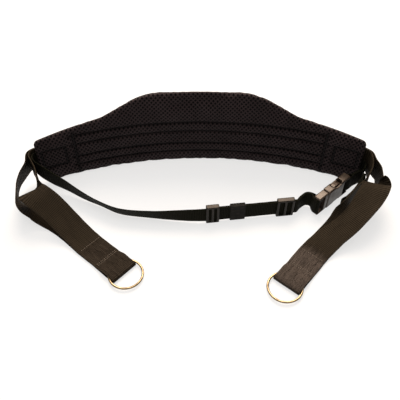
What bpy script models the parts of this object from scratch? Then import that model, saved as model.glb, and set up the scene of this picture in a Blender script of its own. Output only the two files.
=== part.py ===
"""Gait belt: padded back panel, waist webbing with side-release buckle, two ringed hand straps.

Metres, +Z up. The belt stands on its lower edges on the plane z = 0, with the hollow side of the
pad and the buckle towards -Y. +X runs from the plain end of the pad to the buckle end.
"""
from math import asin, atan2, cos, pi, radians, sin, sqrt

import bmesh
import bpy
import numpy as np
from mathutils import Matrix, Vector

MM = 0.001
GAP = 0.3 * MM              # between pieces that touch

# Driving dimensions of the pad
PAD_RADIUS = 546 * MM       # plan curve of the inner face
PAD_BACK = 81 * MM          # y of the inner face at the middle
PAD_HALF = 233 * MM         # half the length along the inner face
PAD_TOP_MID = 125.5 * MM      # height of the raised middle
PAD_TOP_END = 77 * MM       # height at the two ends
PAD_WING_SLOPE = 0.18       # rise of the wings towards the middle
RISE_FROM = 52 * MM         # the raised middle starts to fall here, along the pad
RISE_TO = 146 * MM
CORNER_LOW = 24 * MM        # rounding of the lower corners
CORNER_HIGH = 7 * MM
LINING = 1.5 * MM
FOAM = 5.5 * MM
SHELL = 1.0 * MM
FOAM_INSET = 3 * MM

# Middle of the belt's outline in plan, measured from the middle of the pad's plan circle chord
LAYOUT_MIDDLE = (1.77 * MM, -39.08 * MM)

# Webbing
WAIST_WIDTH = 25 * MM
HANDLE_WIDTH = 38 * MM
WEBBING = 1.5 * MM
PLY = WEBBING + GAP         # pitch of stacked webbing

# Rings
RING_WIRE = 1.5 * MM        # wire radius
RING_RADIUS = 21.5 * MM     # to the middle of the wire
RING_HEIGHT = 3.7 * MM

# Buckle, in its own frame: x along it from the strap bar, y through it, z across it
BUCKLE_AT = (157.0 * MM, -26.4 * MM, 17.3 * MM)
BUCKLE_TURN = radians(42.5)
BUCKLE_WIDTH = 33 * MM
BUCKLE_THICK = 11 * MM
BUCKLE_LENGTH = 67 * MM
MALE_END = 20 * MM          # where the halves meet
BAR_RADIUS = 2.3 * MM
BAR_INSET = 3 * MM          # bar centre from the buckle's end
LATCH_PIVOT = (21.0 * MM, 9.0 * MM)

# Straight run of the waist webbing that the sliders sit on
RUN_START = (4 * MM, -39.8 * MM)
RUN_END = (130 * MM, -24.4 * MM)
RUN_HEIGHT = 15.5 * MM

belt = bpy.data.collections.new("gait_belt")
cutters = bpy.data.collections.new("cutters")


def clear_scene():
    for thing in list(bpy.data.objects):
        bpy.data.objects.remove(thing, do_unlink=True)
    for group in (belt, cutters):
        bpy.context.scene.collection.children.link(group)


def material(name, colour, roughness, metallic=0.0):
    made = bpy.data.materials.new(name)
    made.use_nodes = True
    shader = made.node_tree.nodes["Principled BSDF"]
    shader.inputs["Base Color"].default_value = (*colour, 1.0)
    shader.inputs["Roughness"].default_value = roughness
    shader.inputs["Metallic"].default_value = metallic
    made.diffuse_color = (*colour, 1.0)
    return made


def add_object(name, mesh, finish, group=None, smooth=True):
    thing = bpy.data.objects.new(name, mesh)
    (group or belt).objects.link(thing)
    mesh.materials.append(finish)
    if smooth:
        mesh.shade_smooth()
        mesh.set_sharp_from_angle(angle=radians(35))
    return thing


def add_modifier(thing, name, kind, **values):
    made = thing.modifiers.new(name, kind)
    for key, value in values.items():
        setattr(made, key, value)
    return made


def grid_mesh(name, rows, columns, place):
    """A grid of rows x columns quads whose corners are moved to place(u, v), u and v from 0 to 1."""
    shape = bmesh.new()
    bmesh.ops.create_grid(shape, x_segments=rows, y_segments=columns, size=0.5)
    for corner in shape.verts:
        corner.co = place(corner.co.x + 0.5, corner.co.y + 0.5)
    mesh = bpy.data.meshes.new(name)
    shape.to_mesh(mesh)
    shape.free()
    return mesh


def smoothstep(value):
    t = min(max(value, 0.0), 1.0)
    return t * t * (3 - 2 * t)


# ---------------------------------------------------------------- paths and ribbons
def spline(stations, count):
    """Catmull-Rom curve through the stations, read at count evenly spaced places."""
    known = np.array(stations, float)
    known = np.vstack([2 * known[0] - known[1], known, 2 * known[-1] - known[-2]])
    spread = np.maximum(np.linalg.norm(np.diff(known[:, :3], axis=0), axis=1), 1e-6) ** 0.5
    knots = np.concatenate([[0], np.cumsum(spread)])
    fine = []
    for k in range(1, len(known) - 2):
        t0, t1, t2, t3 = knots[k - 1:k + 3]
        p0, p1, p2, p3 = known[k - 1:k + 3]
        for t in np.linspace(t1, t2, 25)[:-1]:
            a1 = (t1 - t) / (t1 - t0) * p0 + (t - t0) / (t1 - t0) * p1
            a2 = (t2 - t) / (t2 - t1) * p1 + (t - t1) / (t2 - t1) * p2
            a3 = (t3 - t) / (t3 - t2) * p2 + (t - t2) / (t3 - t2) * p3
            b1 = (t2 - t) / (t2 - t0) * a1 + (t - t0) / (t2 - t0) * a2
            b2 = (t3 - t) / (t3 - t1) * a2 + (t - t1) / (t3 - t1) * a3
            fine.append((t2 - t) / (t2 - t1) * b1 + (t - t1) / (t2 - t1) * b2)
    fine.append(known[-2])
    fine = np.array(fine)
    run = np.concatenate([[0], np.cumsum(np.linalg.norm(np.diff(fine[:, :3], axis=0), axis=1))])
    places = np.linspace(0, run[-1], count)
    return np.stack([np.interp(places, run, fine[:, k]) for k in range(fine.shape[1])], axis=1)


def ribbon(name, stations, width, finish, count, columns=1, thickness=WEBBING):
    """Webbing through stations of (x, y, z, across x, across y, across z), all in millimetres."""
    path = spline(stations, count)
    centre = path[:, :3] * MM
    across = path[:, 3:6]
    along = np.gradient(centre, axis=0)
    along /= np.linalg.norm(along, axis=1)[:, None]
    across = across - along * (across * along).sum(axis=1)[:, None]
    across /= np.linalg.norm(across, axis=1)[:, None]

    def place(u, v):
        k = round(u * (count - 1))
        return Vector(centre[k] + across[k] * (v - 0.5) * width)

    mesh = grid_mesh(name, count - 1, columns, place)
    thing = add_object(name, mesh, finish)
    add_modifier(thing, "thickness", "SOLIDIFY", thickness=thickness, offset=0.0, use_even_offset=False)
    return thing


def offset_path(stations, distance, count):
    """The stations moved sideways in plan, to the left of their own direction."""
    path = spline(stations, count)
    along = np.gradient(path[:, :2], axis=0)
    along /= np.linalg.norm(along, axis=1)[:, None]
    distance = np.broadcast_to(distance, (count,))
    path[:, 0] -= along[:, 1] * distance
    path[:, 1] += along[:, 0] * distance
    return path


def bight(stations, bar, bar_radius, count=26):
    """Two plies of webbing along the stations, which end at an upright bar, and round the bar."""
    reach = bar_radius + (GAP + WEBBING / 2) / MM + 0.15
    pitch = PLY / MM / 2 + 0.02
    straight = spline(stations, count)
    left_over = np.linalg.norm(straight[:, :2] - np.array(bar)[None, :], axis=1)
    spread = np.array([pitch + (reach - pitch) * (1 - smoothstep((d - reach) / (3 * reach))) for d in left_over])
    first = offset_path(stations, spread, count)
    second = offset_path(stations, -spread, count)
    end = straight[-1]
    heading = straight[-1, :2] - straight[-2, :2]
    start = atan2(heading[1], heading[0]) + pi / 2
    turn = []
    for k in range(1, 8):
        angle = start - pi * k / 8
        turn.append([bar[0] + reach * cos(angle), bar[1] + reach * sin(angle), *end[2:]])
    keep = left_over > 0.4 * reach
    return [list(p) for p in first[keep]] + turn + [list(p) for p in second[keep][::-1]]


# ---------------------------------------------------------------- pad
def pad_top(s):
    """Height of the pad's top edge at s along it."""
    wing = PAD_TOP_END + (PAD_HALF - abs(s)) * PAD_WING_SLOPE
    raised = 1 - smoothstep((abs(s) - RISE_FROM) / (RISE_TO - RISE_FROM))
    return wing + (PAD_TOP_MID - wing) * raised


def corner_cut(s, half, radius):
    """How far a rounded corner cuts into the edge at s."""
    into = abs(s) - (half - radius)
    if into <= 0:
        return 0.0
    return radius - sqrt(max(radius ** 2 - into ** 2, 0.0))


def pad_point(s, z, out):
    """A point at s along the pad, at height z, and out behind its inner face."""
    radius = PAD_RADIUS + out
    turn = s / PAD_RADIUS
    return Vector((radius * sin(turn), PAD_BACK - PAD_RADIUS + radius * cos(turn), z))


def pad_sheet(name, out, thickness, inset, finish):
    half = PAD_HALF - inset

    def place(u, v):
        s = half * sin((u - 0.5) * pi) * 0.35 + (u - 0.5) * 2 * half * 0.65
        low = inset + corner_cut(s, half, CORNER_LOW) * 0.92
        high = pad_top(s) - inset - corner_cut(s, half, CORNER_HIGH) * 0.92
        return pad_point(s, low + (high - low) * v, out)

    thing = add_object(name, grid_mesh(name, 34, 3, place), finish)
    add_modifier(thing, "thickness", "SOLIDIFY", thickness=thickness, offset=-1.0, use_even_offset=False)
    return thing


def band(name, height, out, half, finish):
    """Webbing sewn along the outer face of the pad."""
    def place(u, v):
        return pad_point((u - 0.5) * 2 * half, height + (v - 0.5) * WAIST_WIDTH, out)

    thing = add_object(name, grid_mesh(name, 22, 1, place), finish)
    add_modifier(thing, "thickness", "SOLIDIFY", thickness=1.4 * MM, offset=-1.0, use_even_offset=False)
    return thing


SHELL_OUT = LINING + FOAM + 2 * GAP
BAND_OUT = SHELL_OUT + SHELL + GAP
BAND_HALF = 186 * MM


def build_pad():
    mesh_finish = material("air_mesh", (0.016, 0.012, 0.013), 0.85)
    pad_sheet("pad_lining", 0.0, LINING, 0.0, mesh_finish)
    pad_sheet("pad_foam", LINING + GAP, FOAM, FOAM_INSET, material("foam", (0.08, 0.08, 0.085), 0.9))
    pad_sheet("pad_shell", SHELL_OUT, SHELL, 0.0, material("pad_cloth", (0.014, 0.013, 0.013), 0.8))
    tape = material("band_webbing", (0.022, 0.019, 0.016), 0.7)
    band("back_band_upper", 64 * MM, BAND_OUT, BAND_HALF, tape)
    band("back_band_lower", 26 * MM, BAND_OUT, BAND_HALF, tape)


# ---------------------------------------------------------------- buckle
BUCKLE_FRAME = Matrix.Translation(BUCKLE_AT) @ Matrix.Rotation(BUCKLE_TURN, 4, "Z")


def box(name, low, high, finish, group=None, frame=BUCKLE_FRAME, bevel=0.0, segments=2):
    """A box between two corners in a frame, with rounded edges."""
    shape = bmesh.new()
    bmesh.ops.create_cube(shape, size=1.0)
    low, high = Vector(low), Vector(high)
    for corner in shape.verts:
        corner.co = Vector(a + (b - a) * (t + 0.5) for a, b, t in zip(low, high, corner.co))
    mesh = bpy.data.meshes.new(name)
    shape.to_mesh(mesh)
    shape.free()
    thing = add_object(name, mesh, finish, group)
    thing.matrix_world = frame
    if bevel:
        add_modifier(thing, "rounded", "BEVEL", width=bevel, segments=segments, limit_method="ANGLE")
    if group is cutters:
        thing.hide_render = True
        thing.display_type = "WIRE"
    return thing


def cylinder(name, centre, radius, depth, axis, finish, group=None, frame=BUCKLE_FRAME, sides=20):
    shape = bmesh.new()
    bmesh.ops.create_cone(shape, cap_ends=True, segments=sides, radius1=radius, radius2=radius, depth=depth)
    if axis == "Y":
        bmesh.ops.rotate(shape, verts=shape.verts, matrix=Matrix.Rotation(pi / 2, 3, "X"))
    bmesh.ops.translate(shape, verts=shape.verts, vec=Vector(centre))
    mesh = bpy.data.meshes.new(name)
    shape.to_mesh(mesh)
    shape.free()
    thing = add_object(name, mesh, finish, group)
    thing.matrix_world = frame
    if group is cutters:
        thing.hide_render = True
        thing.display_type = "WIRE"
    return thing


def combine(thing, other, operation):
    add_modifier(thing, f"{operation.lower()} {other.name}", "BOOLEAN", operation=operation, object=other,
                 solver="EXACT")


def build_male(plastic):
    half_t = BUCKLE_THICK / 2
    half_w = BUCKLE_WIDTH / 2 - 0.5 * MM
    male = box("buckle_male", (0.5 * MM, -half_t, -half_w), (MALE_END - GAP, half_t, half_w), plastic,
               bevel=1.6 * MM)
    web = WAIST_WIDTH / 2 + 0.9 * MM
    slot = box("male_slot", (-3 * MM, -9 * MM, -web), (13.5 * MM, 9 * MM, web), plastic, cutters)
    combine(male, slot, "DIFFERENCE")
    bar = cylinder("male_bar", (BAR_INSET, 0, 0), BAR_RADIUS, 2 * web + 3 * MM, "Z", plastic, cutters)
    combine(male, bar, "UNION")
    guide = box("male_guide", (MALE_END - 3 * MM, -2.4 * MM, -2.6 * MM), (46 * MM, 2.4 * MM, 2.6 * MM),
                plastic, cutters, bevel=0.8 * MM)
    combine(male, guide, "UNION")
    for side in (1, -1):
        pocket = cylinder(f"pocket_{side}", (LATCH_PIVOT[0], 0, side * LATCH_PIVOT[1]), 2.5 * MM, 14 * MM,
                          "Y", plastic, cutters)
        combine(male, pocket, "DIFFERENCE")


def latch_outline(side):
    """Half plan of a latch arm as (x, z) points from its root, the hook outwards."""
    root_x, root_z = LATCH_PIVOT
    width = 2.0 * MM
    points = []
    for k in range(9):
        angle = radians(90 + 180 * k / 8)
        points.append((root_x + width * cos(angle), root_z + width * sin(angle)))
    points += [(33 * MM, 7.4 * MM), (46 * MM, 9.6 * MM), (48.6 * MM, 11.2 * MM)]
    points += [(47.6 * MM, 13.4 * MM), (42 * MM, 16.0 * MM), (36 * MM, 16.6 * MM), (32.2 * MM, 15.6 * MM)]
    points += [(31.6 * MM, 11.6 * MM)]
    return [(x, side * z) for x, z in points]


def build_latch(name, side, plastic):
    outline = bpy.data.curves.new(name + "_outline", "CURVE")
    outline.dimensions = "2D"
    outline.fill_mode = "BOTH"
    outline.extrude = 3.0 * MM
    points = latch_outline(side)
    line = outline.splines.new("POLY")
    line.points.add(len(points) - 1)
    for point, (x, z) in zip(line.points, points):
        point.co = (x - LATCH_PIVOT[0], z - side * LATCH_PIVOT[1], 0, 1)
    line.use_cyclic_u = True
    flat = bpy.data.objects.new(name + "_flat", outline)
    bpy.context.scene.collection.objects.link(flat)
    bpy.context.view_layer.update()
    mesh = bpy.data.meshes.new_from_object(flat.evaluated_get(bpy.context.evaluated_depsgraph_get()))
    bpy.data.objects.remove(flat)
    shape = bmesh.new()
    shape.from_mesh(mesh)
    bmesh.ops.remove_doubles(shape, verts=shape.verts, dist=0.01 * MM)
    bmesh.ops.recalc_face_normals(shape, faces=shape.faces)
    shape.to_mesh(mesh)
    shape.free()
    arm = add_object(name, mesh, plastic)
    stand = Matrix.Rotation(pi / 2, 4, "X")
    pivot = Matrix.Translation((LATCH_PIVOT[0], 0, side * LATCH_PIVOT[1]))
    arm.matrix_world = BUCKLE_FRAME @ pivot @ stand


def build_female(plastic):
    half_t = BUCKLE_THICK / 2 + 0.5 * MM
    half_w = BUCKLE_WIDTH / 2
    female = box("buckle_female", (MALE_END, -half_t, -half_w), (BUCKLE_LENGTH, half_t, half_w), plastic,
                 bevel=1.8 * MM)
    cavity = box("female_cavity", (MALE_END - 2 * MM, -3.6 * MM, -12.2 * MM), (51 * MM, 3.6 * MM, 12.2 * MM),
                 plastic, cutters)
    combine(female, cavity, "DIFFERENCE")
    for side in (1, -1):
        low, high = sorted((side * 11 * MM, side * 20 * MM))
        window = box(f"window_{side}", (31 * MM, -3.6 * MM, low), (51 * MM, 3.6 * MM, high), plastic, cutters)
        combine(female, window, "DIFFERENCE")
        low, high = sorted((side * 13.8 * MM, side * 20 * MM))
        scoop = box(f"scoop_{side}", (34 * MM, -9 * MM, low), (48 * MM, 9 * MM, high), plastic, cutters,
                    bevel=2 * MM)
        combine(female, scoop, "DIFFERENCE")
    web = WAIST_WIDTH / 2 + 0.9 * MM
    slot = box("female_slot", (54 * MM, -9 * MM, -web), (BUCKLE_LENGTH + 3 * MM, 9 * MM, web), plastic,
               cutters)
    combine(female, slot, "DIFFERENCE")
    bar = cylinder("female_bar", (BUCKLE_LENGTH - BAR_INSET, 0, 0), BAR_RADIUS, 2 * web + 3 * MM, "Z",
                   plastic, cutters)
    combine(female, bar, "UNION")


def build_buckle():
    plastic = material("buckle_plastic", (0.03, 0.026, 0.024), 0.35)
    build_male(plastic)
    build_latch("latch_arm_upper", 1, plastic)
    build_latch("latch_arm_lower", -1, plastic)
    build_female(plastic)


# ---------------------------------------------------------------- waist webbing and its sliders
def run_frame(distance):
    """Frame on the straight run: x along the webbing, y away from the wearer's side, z up."""
    start, end = Vector((*RUN_START, RUN_HEIGHT)), Vector((*RUN_END, RUN_HEIGHT))
    along = (end - start).normalized()
    turn = atan2(along.y, along.x)
    return Matrix.Translation(start + along * distance) @ Matrix.Rotation(turn, 4, "Z")


def run_station(distance, side, rise=0.0):
    place = run_frame(distance) @ Vector((0, side, rise))
    return (place.x / MM, place.y / MM, place.z / MM, 0, 0, 1)


def buckle_place(x, y=0.0):
    place = BUCKLE_FRAME @ Vector((x, y, 0))
    return (place.x / MM, place.y / MM)


def pad_station(s, z, out, side=1):
    place = pad_point(side * s * MM, z * MM, out)
    return (place.x / MM, place.y / MM, z, 0, 0, 1)


def build_waist_webbing():
    tape = material("waist_webbing", (0.02, 0.017, 0.014), 0.75)
    out = BAND_OUT + WEBBING / 2
    front = -PLY / 2
    main = [pad_station(192, 42, out, -1), pad_station(210, 42, out, -1), pad_station(229, 42, out, -1)]
    main += [(-232.6, 38.6, 42, 0, 0, 1), (-233.4, 32.8, 41.5, 0, 0, 1), (-230.6, 27.2, 40.5, 0, 0, 1)]
    main += [(-222, 21.5, 37, 0, 0, 1), (-207, 16, 28, 0, -0.05, 1), (-187, 9, 20, 0, -0.15, 1)]
    main += [(-164, -4, 15.2, 0, -0.3, 1), (-140, -17, 13.3, -0.1, -0.42, 1), (-111, -31.3, 12.8, 0, -0.42, 1)]
    main += [(-66, -37.8, 13, 0, -0.34, 1), (-33, -40.2, 14.3, 0, -0.16, 1)]
    main += [run_station(d * MM, front) for d in (0, 30, 60, 95, 126)]
    ribbon("waist_webbing", main, WAIST_WIDTH, tape, 64)
    back = [run_station(d * MM, PLY / 2) for d in (12, 50, 90, 126)]
    ribbon("waist_webbing_return", back, WAIST_WIDTH, tape, 12)

    bar = buckle_place(BAR_INSET)
    height = BUCKLE_AT[2] / MM
    loop = [run_station(126.3 * MM, 0), run_station(129 * MM, 0), (138, -17, 15, 0, 0, 1)]
    loop += [(146.5, -11.5, 16, 0, 0, 1), (153.5, -13.6, 16.8, 0, 0, 1), (*bar, height, 0, 0, 1)]
    ribbon("buckle_loop_webbing", bight(loop, bar, BAR_RADIUS / MM), WAIST_WIDTH, tape, 52)

    bar = buckle_place(BUCKLE_LENGTH - BAR_INSET)
    tab = [(228.3, 25.2, 24.5, 0, 0, 1), (222, 23.3, 22, 0, 0, 1), (215.5, 20.8, 19, 0, 0, 1)]
    tab += [(209, 18.6, height, 0, 0, 1), (*bar, height, 0, 0, 1)]
    ribbon("buckle_tab_webbing", bight(tab, bar, BAR_RADIUS / MM, 14), WAIST_WIDTH, tape, 34)
    root = [pad_station(192, 27, out), pad_station(210, 27, out), pad_station(229, 27, out)]
    root += [(232.6, 38.6, 27, 0, 0, 1), (233.4, 32.8, 26.7, 0, 0, 1), (231.8, 28.2, 26.2, 0, 0, 1)]
    root += [(229.8, 26, 25.2, 0, 0, 1)]
    ribbon("tab_root_webbing", root, WAIST_WIDTH, tape, 18)
    tail = [(231.4, 19.6, 27, 0, 0, 1), (224.5, 9.7, 22, 0, 0, 1), (214, -4, 17, 0, 0, 1), (204, -14, 15, 0, 0, 1)]
    end = (194.5, -22.5)
    tail += [(*end, 14.2, 0, 0, 1)]
    ribbon("webbing_tail", bight(tail, end, 0.9, 16), WAIST_WIDTH, tape, 34)


def build_slider(name, distance, length, height, thick, plastic, crossbar):
    """A frame round the webbing: uprights in front of it, and a crossbar or a plate behind it."""
    frame = run_frame(distance)
    half_t = thick / 2
    body = box(name, (-length / 2, -half_t, -height / 2), (length / 2, half_t, height / 2), plastic,
               frame=frame, bevel=1.0 * MM)
    web_h = WAIST_WIDTH / 2 + 0.6 * MM
    web_t = PLY + 0.35 * MM
    tunnel = box(name + "_tunnel", (-length, -web_t, -web_h), (length, web_t, web_h), plastic, cutters, frame)
    combine(body, tunnel, "DIFFERENCE")
    if crossbar:
        upright = 3.4 * MM
        inner = length / 2 - upright
        middle = 1.6 * MM
        for side in (1, -1):
            low, high = sorted((side * middle, side * inner))
            hole = box(f"{name}_hole_{side}", (low, -9 * MM, -web_h), (high, 9 * MM, web_h), plastic,
                       cutters, frame)
            combine(body, hole, "DIFFERENCE")


def build_keeper(name, distance, length, finish):
    """An elastic sleeve round both plies."""
    frame = run_frame(distance)
    outer_t, outer_h = PLY + 1.6 * MM, WAIST_WIDTH / 2 + 1.6 * MM
    body = box(name, (-length / 2, -outer_t, -outer_h), (length / 2, outer_t, outer_h), finish, frame=frame,
               bevel=0.9 * MM)
    inner_t, inner_h = PLY + 0.35 * MM, WAIST_WIDTH / 2 + 0.45 * MM
    tunnel = box(name + "_tunnel", (-length, -inner_t, -inner_h), (length, inner_t, inner_h), finish,
                 cutters, frame)
    combine(body, tunnel, "DIFFERENCE")


def build_sliders():
    plastic = material("slider_plastic", (0.025, 0.022, 0.02), 0.4)
    build_slider("tri_glide_left", 13 * MM, 18 * MM, 31 * MM, 7.4 * MM, plastic, True)
    build_keeper("webbing_keeper", 47 * MM, 21 * MM, material("elastic", (0.04, 0.036, 0.032), 0.8))
    build_slider("tri_glide_right", 113 * MM, 24 * MM, 31 * MM, 7.6 * MM, plastic, True)


# ---------------------------------------------------------------- hand straps and rings
LOW_PLY = 1.2               # middle of the lower ply on the floor, in millimetres
TOP_PLY = LOW_PLY + PLY / MM + 0.05
POCKET_PLY = RING_HEIGHT / MM + 2.8


def strap_end(fold, back, across):
    """Stations of the ring pocket: lower ply, fold and upper ply, in the order lower to upper."""
    fx, fy = fold
    bx, by = back
    length = sqrt(bx ** 2 + by ** 2)
    bx, by = bx / length, by / length
    middle = (LOW_PLY + POCKET_PLY) / 2
    radius = (POCKET_PLY - LOW_PLY) / 2

    def station(distance, z):
        return (fx + bx * distance, fy + by * distance, z, *across)

    stations = [station(38, LOW_PLY), station(26, LOW_PLY), station(12, LOW_PLY), station(radius + 1, LOW_PLY)]
    for k in range(1, 6):
        angle = -pi / 2 + pi * k / 6
        stations.append(station(radius * (1 - cos(angle)) + 0.8, middle + radius * sin(angle)))
    stations += [station(radius + 1, POCKET_PLY), station(12, POCKET_PLY), station(22.5, POCKET_PLY)]
    stations += [station(27.5, TOP_PLY + 1.5), station(32, TOP_PLY + 0.1), station(38, TOP_PLY)]
    return stations


LEFT_FOLD = (-94.3, -126.5)
LEFT_BACK = (-0.74, 0.67)
LEFT_ACROSS = (-0.67, -0.74, 0)
RIGHT_FOLD = (105.8, -145.7)
RIGHT_BACK = (0.64, 0.77)
RIGHT_ACROSS = (-0.77, 0.64, 0)


OUTER_PLY = BAND_OUT + 2.5 * WEBBING + 2 * GAP      # handle ends on the pad, from its inner face
INNER_PLY = BAND_OUT + 1.5 * WEBBING + GAP
ENDS_SEWN = (192, 212, 229.2)                       # along the pad, in millimetres
FREE_FROM = 231


def left_handle_stations():
    a = LEFT_ACROSS
    lower = [pad_station(FREE_FROM, 41, OUTER_PLY, -1)]
    lower += [(-238.2, 38.4, 40.3, 0.03, 0, 1), (-243, 26.5, 36.5, 0.22, -0.1, 1), (-249.5, 9.5, 32, 0.25, -0.15, 1)]
    lower += [(-252, -3, 26, 0.22, -0.28, 0.95), (-250.5, -12, 22, 0.18, -0.42, 0.88)]
    lower += [(-246, -20.5, 17.7, 0.05, -0.6, 0.8)]
    lower += [(-237, -26.5, 14, -0.3, -0.75, 0.58), (-226, -28, 8.8, -0.45, -0.8, 0.36)]
    lower += [(-211, -32, 4, -0.6, -0.78, 0.13), (-194, -39.8, LOW_PLY + 0.4, *a)]
    lower += [(-178.8, -50.6, LOW_PLY, *a), (-162.7, -65, LOW_PLY, *a), (-146.7, -80, LOW_PLY, *a)]
    upper = [(-146.7, -80, TOP_PLY, *a), (-163.7, -64.6, 7, *a), (-180, -51.8, 17, *a)]
    upper += [(-197.4, -40, 32, -0.7, -0.7, 0), (-213, -33, 43.5, -0.8, -0.6, 0)]
    upper += [(-223.5, -26.5, 46, -0.87, -0.48, -0.05), (-225.5, -19, 38, -0.8, -0.42, -0.4)]
    upper += [(-222.5, -12, 33.5, -0.4, -0.2, -0.9), (-221.5, 0, 34.5, -0.05, 0, -1)]
    upper += [(-225, 11, 37.5, 0, 0, -1), (-231.5, 22, 40, 0, 0, -1)]
    upper += [(-236.4, 31, 41, 0, 0, -1), (-235.2, 38.8, 41, 0, 0, -1)]
    x, y, z, _, _, _ = pad_station(FREE_FROM, 41, INNER_PLY, -1)
    upper.append((x, y, z, 0, 0, -1))
    return lower + strap_end(LEFT_FOLD, LEFT_BACK, a) + upper


def right_handle_stations():
    a = RIGHT_ACROSS
    lower = [pad_station(FREE_FROM, 41, INNER_PLY)]
    lower += [(235.2, 38.8, 41, 0, 0, 1), (237.4, 30.3, 39, 0, 0, 1), (236, 17.4, 33, 0, 0, 1)]
    lower += [(227.5, 2.8, 25.5, 0, 0, 1), (214.8, -8.8, 22, 0, 0, 1), (205, -21.5, 19.8, -0.12, 0.1, 0.99)]
    lower += [(198.5, -37, 14, -0.56, 0.48, 0.66), (189.5, -52.5, 7.6, -0.72, 0.6, 0.3)]
    lower += [(176.5, -65, 2.9, -0.77, 0.64, 0.03), (152, -90.6, LOW_PLY + 0.3, *a), (139, -105.8, LOW_PLY, *a)]
    upper = [(139, -105.3, TOP_PLY, *a), (152.3, -90.5, 3.8, *a), (173.7, -72.9, 9.5, -0.5, 0.86, -0.12)]
    upper += [(193.5, -61.2, 19.5, -0.39, 0.9, -0.18), (211.4, -47, 33, -0.46, 0.88, -0.14)]
    upper += [(226.2, -30.8, 43, -0.67, 0.74, -0.06), (233.7, -20, 47, -0.8, 0.57, -0.2)]
    upper += [(237.5, -12, 45, -0.72, 0.62, -0.34), (240.8, -5.2, 38, -0.6, 0.66, -0.46)]
    upper += [(244, 0, 30.5, -0.42, 0.64, -0.64), (248.5, 7, 28.5, -0.1, 0.38, -0.92)]
    upper += [(248.5, 17, 34, 0.08, 0.08, -1), (243.5, 28, 38.3, 0.13, 0, -1), (238.8, 37.6, 40.5, 0.05, 0, -1)]
    x, y, z, _, _, _ = pad_station(FREE_FROM, 41, OUTER_PLY)
    upper.append((x, y, z, 0, 0, -1))
    return lower + strap_end(RIGHT_FOLD, RIGHT_BACK, a) + upper


def build_ring(name, fold, back, steel):
    length = sqrt(back[0] ** 2 + back[1] ** 2)
    inside = -1.0
    x = fold[0] + back[0] / length * inside
    y = fold[1] + back[1] / length * inside
    circle = bmesh.new()
    bmesh.ops.create_circle(circle, segments=8, radius=RING_WIRE)
    bmesh.ops.rotate(circle, verts=circle.verts, matrix=Matrix.Rotation(pi / 2, 3, "X"))
    bmesh.ops.translate(circle, verts=circle.verts, vec=(RING_RADIUS, 0, 0))
    mesh = bpy.data.meshes.new(name)
    circle.to_mesh(mesh)
    circle.free()
    ring = add_object(name, mesh, steel)
    add_modifier(ring, "turned", "SCREW", angle=2 * pi, steps=40, render_steps=40, axis="Z",
                 use_merge_vertices=True, merge_threshold=0.00005, use_normal_calculate=True)
    ring.location = (x * MM, y * MM, RING_HEIGHT)


def bar_tack(name, fold, back, across, distance, thread):
    """A dense row of thread across a hand strap, at a distance from its fold."""
    length = sqrt(back[0] ** 2 + back[1] ** 2)
    x = fold[0] + back[0] / length * distance
    y = fold[1] + back[1] / length * distance
    z = TOP_PLY + WEBBING / MM / 2 + 0.5
    frame = Matrix.Translation((x * MM, y * MM, z * MM)) @ Matrix.Rotation(atan2(across[1], across[0]), 4, "Z")
    size = Vector((17 * MM, 0.9 * MM, 0.2 * MM))
    box(name, -size, size, thread, frame=frame)


def box_stitch(name, side, out, thread):
    """The sewn square that holds the strap ends to the pad: a grid with its middle left out."""
    first, length, half_height = 193 * MM, 33 * MM, 15.5 * MM

    def place(u, v):
        return pad_point(side * (first + u * length), 41 * MM + (v - 0.5) * 2 * half_height, out)

    mesh = grid_mesh(name, 22, 22, place)
    shape = bmesh.new()
    shape.from_mesh(mesh)
    inner = []
    for face in shape.faces:
        spot = face.calc_center_median()
        s = abs(asin(spot.x / (PAD_RADIUS + out))) * PAD_RADIUS
        beside = abs(s - first - length / 2) < length * (0.5 - 1 / 22)
        between = abs(spot.z - 41 * MM) < half_height * 2 * (0.5 - 1 / 22)
        if beside and between:
            inner.append(face)
    bmesh.ops.delete(shape, geom=inner, context="FACES")
    bmesh.ops.dissolve_limit(shape, angle_limit=radians(1), verts=shape.verts, edges=shape.edges)
    shape.to_mesh(mesh)
    shape.free()
    thing = add_object(name, mesh, thread, smooth=False)
    add_modifier(thing, "thickness", "SOLIDIFY", thickness=0.5 * MM, offset=0.0, use_even_offset=False)


def build_handles():
    tape = material("handle_webbing", (0.045, 0.038, 0.031), 0.75)
    steel = material("ring_metal", (0.83, 0.74, 0.58), 0.22, 1.0)
    thread = material("thread", (0.11, 0.09, 0.075), 0.7)
    ribbon("handle_left_webbing", left_handle_stations(), HANDLE_WIDTH, tape, 118)
    ribbon("handle_right_webbing", right_handle_stations(), HANDLE_WIDTH, tape, 118)
    for side, label in ((-1, "left"), (1, "right")):
        for ply, out in (("outer", OUTER_PLY), ("inner", INNER_PLY)):
            sewn = [pad_station(s, 41, out, side) for s in ENDS_SEWN]
            ribbon(f"handle_{label}_{ply}_end", sewn, HANDLE_WIDTH, tape, 5)
    build_ring("ring_left", LEFT_FOLD, LEFT_BACK, steel)
    build_ring("ring_right", RIGHT_FOLD, RIGHT_BACK, steel)
    bar_tack("handle_left_tack_near", LEFT_FOLD, LEFT_BACK, LEFT_ACROSS, 34, thread)
    bar_tack("handle_left_tack_far", LEFT_FOLD, LEFT_BACK, LEFT_ACROSS, 68, thread)
    bar_tack("handle_right_tack_near", RIGHT_FOLD, RIGHT_BACK, RIGHT_ACROSS, 34, thread)
    bar_tack("handle_right_tack_far", RIGHT_FOLD, RIGHT_BACK, RIGHT_ACROSS, 62, thread)
    out = BAND_OUT + 3 * WEBBING + 2 * GAP + 0.6 * MM
    box_stitch("pad_left_box_stitch", -1, out, thread)
    box_stitch("pad_right_box_stitch", 1, out, thread)


def put_origin_under_middle():
    """Move everything so that the origin is under the middle of the belt."""
    shift = Matrix.Translation((-LAYOUT_MIDDLE[0], -LAYOUT_MIDDLE[1], 0))
    for thing in list(belt.objects) + list(cutters.objects):
        thing.matrix_world = shift @ thing.matrix_world


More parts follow.
